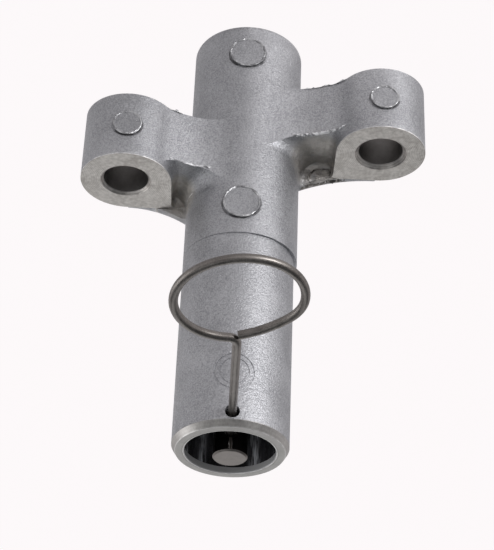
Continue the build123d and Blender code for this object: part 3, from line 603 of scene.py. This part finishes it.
def pad_masks(tree, place):
    """(1 on the ejector pads' faces, for their painted shade; 1 in the thin line of painted shade
    where the skin meets their burrs).
    """
    front = calc(tree, "LESS_THAN", part_of(tree, place, "Y"), FRONT_Y)
    faces, shade_lines = 0.0, 0.0
    for name, (x, y, z), radius, seed in PADS:
        away = distance_to(tree, place, (x * MM, 0.0, z * MM), ROUND_FRONTAL)
        faces = largest(tree, faces, calc(tree, "LESS_THAN", away, radius * MM))
        shade_line = line_at(tree, away, (radius + GAP_OFFSET) * MM, GAP_CORE, GAP_FADE)
        shade_lines = largest(tree, shade_lines, shade_line)
    broken = spread(tree, grain(tree, place, 1.5 * MM), 0.35, 0.60, 0.35, 0.95)
    return product(tree, faces, front), product(tree, shade_lines, front, broken)


print("outlines round", len(PADS), "pads and", len(ears), "ears")

# %% [markdown]
# The housing's material
#
# Now the pieces come together. The machined masks choose between skin and tool marks, the
# layers go over the colour one by one, and roughness, shine and relief follow the same masks.
# The painted glints and the lead-in's painted highlight are less metallic, so their painted
# colours show in the bore, which is painted darker as shade.

# %% Housing metal
# Painted shade: the walls of the bolt holes are darkened as if in shade.
HOLE_PAINTED_SHADE = (0.250, 0.242, 0.240)
HOLE_SHADE_SHARE = 0.75
HOLE_WALL = 0.06 * MM
# Painted highlight: a light band at the top of the bore stands for the light the lead-in reflects.
LEAD_IN_PAINTED_HIGHLIGHT = (0.560, 0.560, 0.565)
BORE_ROUGH = 0.16
METALLIC = 0.92
METALLIC_UNDER_PAINTED_LIGHT = 0.25
RELIEF = 0.13 * MM
CUT_RELIEF_SHARE = 0.02
OIL_RELIEF = 2.6


def housing_layers(tree, place, masks, glint_share):
    """(layers from the lowest to the highest, roughness of the mouth)."""
    at_wall = calc(tree, "LESS_THAN", masks["radius"], hole_radius + HOLE_WALL)
    pad_faces, pad_shade_lines = pad_masks(tree, place)
    in_mouth, mouth_rough = mouth_layers(tree, place, masks)
    layers = [(product(tree, masks["holes"], at_wall, HOLE_SHADE_SHARE), HOLE_PAINTED_SHADE)]
    layers += in_mouth
    layers += [
        (masks["bore"], blend(tree, glint_share, BORE_PAINTED_SHADE, BORE_PAINTED_GLINT)),
        (product(tree, pad_faces, PAD_FACE_SHADE_SHARE), PAD_FACE_PAINTED_SHADE),
        (pad_shade_lines, PAD_LINE_PAINTED_SHADE),
        (ear_edge_highlight(tree, place), EAR_EDGE_PAINTED_HIGHLIGHT),
        (masks["lead_in"], LEAD_IN_PAINTED_HIGHLIGHT),
    ]
    return layers, mouth_rough


def make_housing_metal():
    """Cast skin outside, tool marks on the ears and the mouth, and a bore painted darker as shade,
    with painted glints.
    """
    material, tree, shader, place = start_material("housing_metal")
    masks = machined_masks(tree, place)
    cut = largest(tree, *(masks[name] for name in ("faces", "holes", "mouth", "bore")))
    oil = grime(tree, place)
    glint_share = bore_glints(tree, place)
    skin_colour, skin_height, skin_rough = cast_skin(tree, place)
    cut_colour, cut_height, cut_rough = tool_marks(tree, place, masks["radius"])

    skin_colour = blend(tree, oil, skin_colour, grime_colour(tree, place))
    colour = blend(tree, cut, skin_colour, cut_colour)
    layers, mouth_rough = housing_layers(tree, place, masks, glint_share)
    for share, layer_colour in layers:
        colour = blend(tree, share, colour, layer_colour)
    tree.links.new(colour, shader.inputs["Base Color"])

    rough = number_mix(tree, cut, skin_rough, cut_rough)
    rough = number_mix(tree, masks["mouth"], rough, mouth_rough)
    rough = number_mix(tree, masks["bore"], rough, BORE_ROUGH)
    tree.links.new(rough, shader.inputs["Roughness"])

    # Less metallic under the painted glints and the lead-in's painted highlight, so their colours
    # show.
    dull = largest(tree, product(tree, masks["bore"], glint_share), masks["lead_in"])
    tree.links.new(number_mix(tree, dull, METALLIC, METALLIC_UNDER_PAINTED_LIGHT), shader.inputs["Metallic"])

    lumps = product(tree, grain(tree, place, 1.3 * MM, detail=4.0), oil, OIL_RELIEF)
    skin_height = calc(tree, "ADD", skin_height, lumps)
    cut_height = product(tree, cut_height, CUT_RELIEF_SHARE)
    bumps(tree, shader, number_mix(tree, cut, skin_height, cut_height), RELIEF)
    return material


housing_metal = make_housing_metal()
print("made", housing_metal.name, "with", len(housing_metal.node_tree.nodes), "nodes")

# %% Torn metal
TORN_METALLIC = 0.60
TORN_ROUGH = 0.42
TORN_RELIEF = 0.10 * MM


def make_torn_metal(name, dark, light, size):
    """Metal of the flash, with dark folds between its grains."""
    material, tree, shader, place = start_material(name)
    torn = grain(tree, place, size * MM, detail=3.0)
    folds = spread(tree, torn, 0.38, 0.56)
    tree.links.new(blend(tree, folds, dark, light), shader.inputs["Base Color"])
    shader.inputs["Metallic"].default_value = TORN_METALLIC
    shader.inputs["Roughness"].default_value = TORN_ROUGH
    bumps(tree, shader, torn, TORN_RELIEF)
    return material


# Light grains are partly fresh torn metal and partly painted highlight; the dark copy is painted
# shade.
TORN_METALS = (
    # name, folds, grains, size of a grain in millimetres
    ("burr_metal", (0.280, 0.280, 0.290), (0.760, 0.765, 0.780), 0.9),
    ("soot_metal", (0.060, 0.055, 0.050), (0.230, 0.216, 0.200), 0.8),
    ("rim_metal", (0.230, 0.230, 0.240), (0.460, 0.462, 0.475), 1.6),
)
burr_metal, soot_metal, rim_metal = (make_torn_metal(*numbers) for numbers in TORN_METALS)
print("made", burr_metal.name, "fresh,", soot_metal.name, "oily and", rim_metal.name, "worn")

# %% [markdown]
# Flash, burrs and rims
#
# Metal that squeezed between the dies stands along some edges as a ragged lip, a burr lies
# round the small pad in the lower ear's pocket, and each ejector pin leaves a thin rim round
# its pad. All are the same shape: a small section carried along a path, whose tip rises and
# falls at random. The whole surface is one numpy grid, with stations along one side and section
# points along the other.

# %% Ragged lips
LIP_STEP = 0.11 * MM
SECTION_ACROSS = np.array([-0.5, -0.42, -0.10, 0.12, 0.42, 0.5])
SECTION_RISE = np.array([0.0, 0.45, 1.0, 0.94, 0.40, 0.0])
NOISE_START = 0.22
NOISE_SPAN = 0.5
TIP_POWER = 1.5
END_STATIONS = 6.0


def smooth_noise(count, span, chance):
    """Noise from 0 to 1 on a line: random at every span-th station, joined by straight lines."""
    knots = chance.random(count // span + 3)
    return np.interp(np.arange(count) / span, np.arange(len(knots)), knots)


def even_path(corners, closed):
    """Points LIP_STEP apart on the straight legs between corners."""
    legs = np.linalg.norm(np.diff(corners, axis=0), axis=1)
    travelled = np.concatenate([[0.0], np.cumsum(legs)])
    count = int(travelled[-1] / LIP_STEP)
    along = np.linspace(0.0, travelled[-1], count, endpoint=not closed)
    return np.stack([np.interp(along, travelled, corners[:, axis]) for axis in range(3)], axis=1)


def lip_points(path, out, width, height, seed, closed, sunk, least):
    """
    Grid of points on a lip. With t the path's direction, o the way out of the metal and
    a = t x o the way across it, station s and section point k:
    V(s, k) = path + (across[k] * wide + rise[k] * lean) * a + (rise[k] * tall - sunk) * o.
    wide, lean and tall are noise along the path. tall is height * n ** 1.5, with n the noise
    stretched and kept between least and 1, and it runs out at the ends of an open path.
    """
    chance = np.random.default_rng(seed)
    count = len(path)
    tangent = np.gradient(path, axis=0)
    tangent /= np.linalg.norm(tangent, axis=1, keepdims=True)
    out = np.broadcast_to(np.array(out, dtype=float), path.shape)
    out = out / np.linalg.norm(out, axis=1, keepdims=True)
    across = np.cross(tangent, out)
    noise = smooth_noise(count, 9, chance) * 0.65 + smooth_noise(count, 3, chance) * 0.35
    tall = height * np.clip((noise - NOISE_START) / NOISE_SPAN, least, 1.0) ** TIP_POWER
    if not closed:
        to_end = np.minimum(np.arange(count), np.arange(count)[::-1])
        tall = tall * np.clip(to_end / END_STATIONS, 0.0, 1.0)
    wide = width * (0.75 + 0.5 * smooth_noise(count, 4, chance))
    lean = (smooth_noise(count, 5, chance) - 0.5) * width
    shift = SECTION_ACROSS[None, :] * wide[:, None] + SECTION_RISE[None, :] * lean[:, None]
    rise = SECTION_RISE[None, :] * tall[:, None] - sunk
    sideways = shift[:, :, None] * across[:, None, :]
    outwards = rise[:, :, None] * out[:, None, :]
    return path[:, None, :] + sideways + outwards


def grid_faces(count, sides, closed):
    """Quads between neighbouring stations and section points; an open lip gets its two caps."""
    station = np.arange(count if closed else count - 1)[:, None]
    side = np.arange(sides)[None, :]
    after, beside = (station + 1) % count, (side + 1) % sides
    here, there = station * sides, after * sides
    faces = np.stack([here + side, here + beside, there + beside, there + side], axis=2)
    faces = faces.reshape(-1, 4).tolist()
    if not closed:
        faces += [list(range(sides))[::-1], list(range((count - 1) * sides, count * sides))]
    return faces


def ragged_lip(name, corners, out, width, height, seed, finish, least, closed=False, sunk=0.06):
    """Piece of flash on the housing; its corners and sizes are in millimetres."""
    path = even_path(np.array(corners) * MM, closed)
    points = lip_points(path, out, width * MM, height * MM, seed, closed, sunk * MM, least)
    faces = grid_faces(len(path), len(SECTION_RISE), closed)
    mesh = bpy.data.meshes.new(name)
    mesh.from_pydata(points.reshape(-1, 3).tolist(), [], faces)
    mesh.materials.append(finish)
    lip = bpy.data.objects.new(name, mesh)
    bpy.context.scene.collection.objects.link(lip)
    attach(lip, "housing")
    print(name, "has", len(faces), "faces and is at most", height, "mm high")


# %% Flash along the arms' edges
LOWER_FRONT = [
    (-9.6, -9.73), (-11.0, -9.76), (-12.0, -9.87), (-13.0, -10.08), (-14.0, -10.33),
    (-15.0, -10.66), (-16.0, -11.04), (-17.0, -11.44), (-18.0, -11.9), (-19.0, -12.55),
    (-20.0, -13.4), (-20.6, -13.95),
]
UPPER_FRONT = [
    (6.2, -10.66), (7.0, -10.67), (8.0, -10.75), (9.0, -10.9), (10.0, -11.13),
    (11.0, -11.42), (12.0, -11.8), (13.0, -12.21), (14.0, -12.68), (15.0, -13.3),
]
LOWER_SHELF_Z = 27.55
UPPER_SHELF_Z = 37.45
LOWER_BASE_Z = 15.4
UPPER_BASE_Z = 25.3
INSET = 0.06


def at_height(front, z):
    """Path along an arm's front line at one height, set a little into the metal."""
    return [(x, y + INSET, z) for x, y in front]


DOWN_OUT = (0.0, -0.30, -0.95)
FLASH = (
    # name, path, way out, width, height, seed, least of the noise
    ("flash_lower_shelf", at_height(LOWER_FRONT, LOWER_SHELF_Z), (0.0, -0.75, 0.66),
     0.62, 0.62, 3, 0.60),
    ("flash_upper_shelf", at_height(UPPER_FRONT, UPPER_SHELF_Z), (0.0, -0.60, 0.80),
     0.34, 0.40, 8, 0.25),
    ("flash_upper_base", at_height(UPPER_FRONT[7:], UPPER_BASE_Z), DOWN_OUT, 0.45, 0.42, 12, 0.0),
    ("flash_lower_base", at_height(LOWER_FRONT[2:], LOWER_BASE_Z), DOWN_OUT, 0.40, 0.34, 21, 0.0),
)
# Flash along the arms gets the light copy: fresh metal with painted highlight.
for name, corners, out, width, height, seed, least in FLASH:
    ragged_lip(name, corners, out, width, height, seed, burr_metal, least)

# %% Burr and flash in the lower ear's pocket
PAD_BURR = [
    (-14.0, 0.30, 31.3), (-14.2, 0.30, 29.9), (-15.0, 0.30, 28.9), (-16.7, 0.30, 28.45),
    (-18.0, 0.30, 28.3), (-18.4, 0.30, 29.3), (-18.3, 0.30, 30.5),
]
RIB_EDGE = [
    (-12.2, 1.3, 33.16), (-13.0, 1.3, 32.80), (-14.0, 1.3, 32.38), (-15.0, 1.3, 31.99),
    (-16.0, 1.3, 31.65), (-18.0, 1.3, 31.03), (-20.0, 1.3, 30.54), (-22.0, 1.3, 30.15),
]
FORWARD = (0.0, -1.0, 0.0)
OFF_RIB = (0.28, 0.0, 0.96)
# Painted shade: the pocket's burr and the rib's flash take the dark copy of the flash metal.
ragged_lip("burr_pocket_pad", PAD_BURR, FORWARD, 0.48, 0.36, 51, soot_metal, 0.55)
ragged_lip("flash_lower_rib", RIB_EDGE, OFF_RIB, 1.30, 0.55, 57, soot_metal, 0.10)

# %% Rims of the ejector pads
RIM_WIDTH = 0.42
RIM_HEIGHT = 0.24
RIM_SUNK = 0.03
RIM_LEAST = 0.75
RIM_INSIDE = 0.45
RIM_CORNERS = 73
turns = np.linspace(0.0, 2.0 * np.pi, RIM_CORNERS)
for name, (x, y, z), radius, seed in PADS:
    reach = radius - RIM_INSIDE * RIM_WIDTH
    sides = (x + reach * np.cos(turns), np.full_like(turns, y), z + reach * np.sin(turns))
    ragged_lip(name, np.stack(sides, axis=1), FORWARD, RIM_WIDTH, RIM_HEIGHT, seed, rim_metal,
               RIM_LEAST, closed=True, sunk=RIM_SUNK)

# %% [markdown]
# Turned steel, wire, sheet metal, bronze, rubber and plastic
#
# The small pieces are plain engineering materials. What tells them apart is the direction of
# their marks: rings round a turned rod, long scratches down drawn wire, a soft mottle on rolled
# sheet. One function draws noise that is stretched along a chosen direction, and each metal
# calls it with its own numbers. The rod's ground stem shines below its dull end face.

# %% Metals
RINGS = (0.08, 0.08, 1.0)
ALONG_Y = (1.0, 0.12, 1.0)
EVEN = (1.0, 1.0, 1.0)
METALS = {
    # name: dark, light, lowest and highest roughness, stretch, size and depth in millimetres
    "rod_metal": ((0.150, 0.138, 0.130), (0.235, 0.216, 0.204), 0.38, 0.48, RINGS, 0.18, 0.004),
    "ground_steel": ((0.36, 0.36, 0.37), (0.56, 0.56, 0.57), 0.22, 0.34, RINGS, 0.15, 0.003),
    "sheet_steel": ((0.34, 0.34, 0.35), (0.52, 0.52, 0.53), 0.30, 0.45, EVEN, 0.40, 0.006),
    "spring_metal": ((0.16, 0.16, 0.17), (0.34, 0.34, 0.35), 0.25, 0.38, EVEN, 0.25, 0.004),
    "wire_metal": ((0.142, 0.131, 0.122), (0.250, 0.233, 0.220), 0.36, 0.48, ALONG_Y, 0.20, 0.006),
    "bush_bronze": ((0.34, 0.22, 0.10), (0.58, 0.41, 0.21), 0.34, 0.50, EVEN, 0.30, 0.010),
}


def make_metal(name, dark, light, rough_low, rough_high, stretch, size, depth):
    """Metal with marks in one direction, a slow stain and small relief."""
    material, tree, shader, place = start_material(name)
    marks = stretched(tree, place, stretch, size * MM)
    stain = grain(tree, place, 2.8 * MM, detail=3.0)
    tone = calc(tree, "MULTIPLY_ADD", marks, 0.6, product(tree, stain, 0.4))
    colour = blend(tree, spread(tree, tone, 0.30, 0.70), dark, light)
    roughness = spread(tree, tone, 0.30, 0.70, rough_low, rough_high)
    tree.links.new(colour, shader.inputs["Base Color"])
    tree.links.new(roughness, shader.inputs["Roughness"])
    shader.inputs["Metallic"].default_value = 1.0
    bumps(tree, shader, marks, depth * MM)
    return material


metals = {name: make_metal(name, *numbers) for name, numbers in METALS.items()}
print("made", ", ".join(metals))

# %% Ground stem of the rod
STEM_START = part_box("push_rod")[1][2] - 0.32 * MM
STEM_ROUGH = 0.12

tree = metals["rod_metal"].node_tree
shader = next(node for node in tree.nodes if node.type == "BSDF_PRINCIPLED")
place = add(tree, "ShaderNodeTexCoord").outputs["Object"]
stem = calc(tree, "LESS_THAN", part_of(tree, place, "Z"), STEM_START)
dull = shader.inputs["Roughness"].links[0].from_socket
tree.links.new(number_mix(tree, stem, dull, STEM_ROUGH), shader.inputs["Roughness"])
print("stem shines below", in_mm([STEM_START]), "mm")

# %% Rubber and plastic
SOFT = {
    # name: dark, light, roughness, size and depth in millimetres
    "black_rubber": ((0.010, 0.010, 0.011), (0.030, 0.030, 0.031), 0.58, 0.20, 0.008),
    "brown_plastic": ((0.060, 0.048, 0.036), (0.120, 0.100, 0.078), 0.52, 0.30, 0.010),
}
ROUGH_SWING = 0.08


def make_soft(name, dark, light, rough, size, depth):
    """Matt rubber or plastic: fine mould grain, slightly paler on its high spots."""
    material, tree, shader, place = start_material(name)
    skin = grain(tree, place, size * MM, detail=4.0, roughness=0.6)
    dust = grain(tree, place, 2.0 * MM)
    tone = calc(tree, "MULTIPLY_ADD", skin, 0.7, product(tree, dust, 0.3))
    colour = blend(tree, spread(tree, tone, 0.35, 0.75), dark, light)
    roughness = spread(tree, skin, 0.3, 0.7, rough - ROUGH_SWING, rough + ROUGH_SWING)
    tree.links.new(colour, shader.inputs["Base Color"])
    tree.links.new(roughness, shader.inputs["Roughness"])
    bumps(tree, shader, skin, depth * MM)
    return material


soft = {name: make_soft(name, *numbers) for name, numbers in SOFT.items()}
print("made", " and ".join(soft))

# %% Give every node its finish
FINISHES = (
    (housing_metal, ["housing"]),
    (metals["ground_steel"], ["cylinder_sleeve", "plunger", "check_ball"]),
    (metals["sheet_steel"], ["check_ball_cage", "seal_backup_washer", "oil_seal_case"]),
    (metals["spring_metal"],
     ["check_ball_spring", "return_spring", "garter_spring", "seal_retaining_ring"]),
    (metals["rod_metal"], ["push_rod"]),
    (metals["wire_metal"], ["release_pin"]),
    (metals["bush_bronze"], ["rod_guide"]),
    (soft["black_rubber"], ["sleeve_o_ring", "oil_seal_lip"]),
    (soft["brown_plastic"], ["wear_ring"]),
)
for finish, names in FINISHES:
    for name in names:
        mesh = frame["nodes"][name].data
        mesh.materials.clear()
        mesh.materials.append(finish)
    print(finish.name, "on", ", ".join(names))

# %% Colour transform and the end
bpy.context.scene.view_settings.view_transform = "Standard"
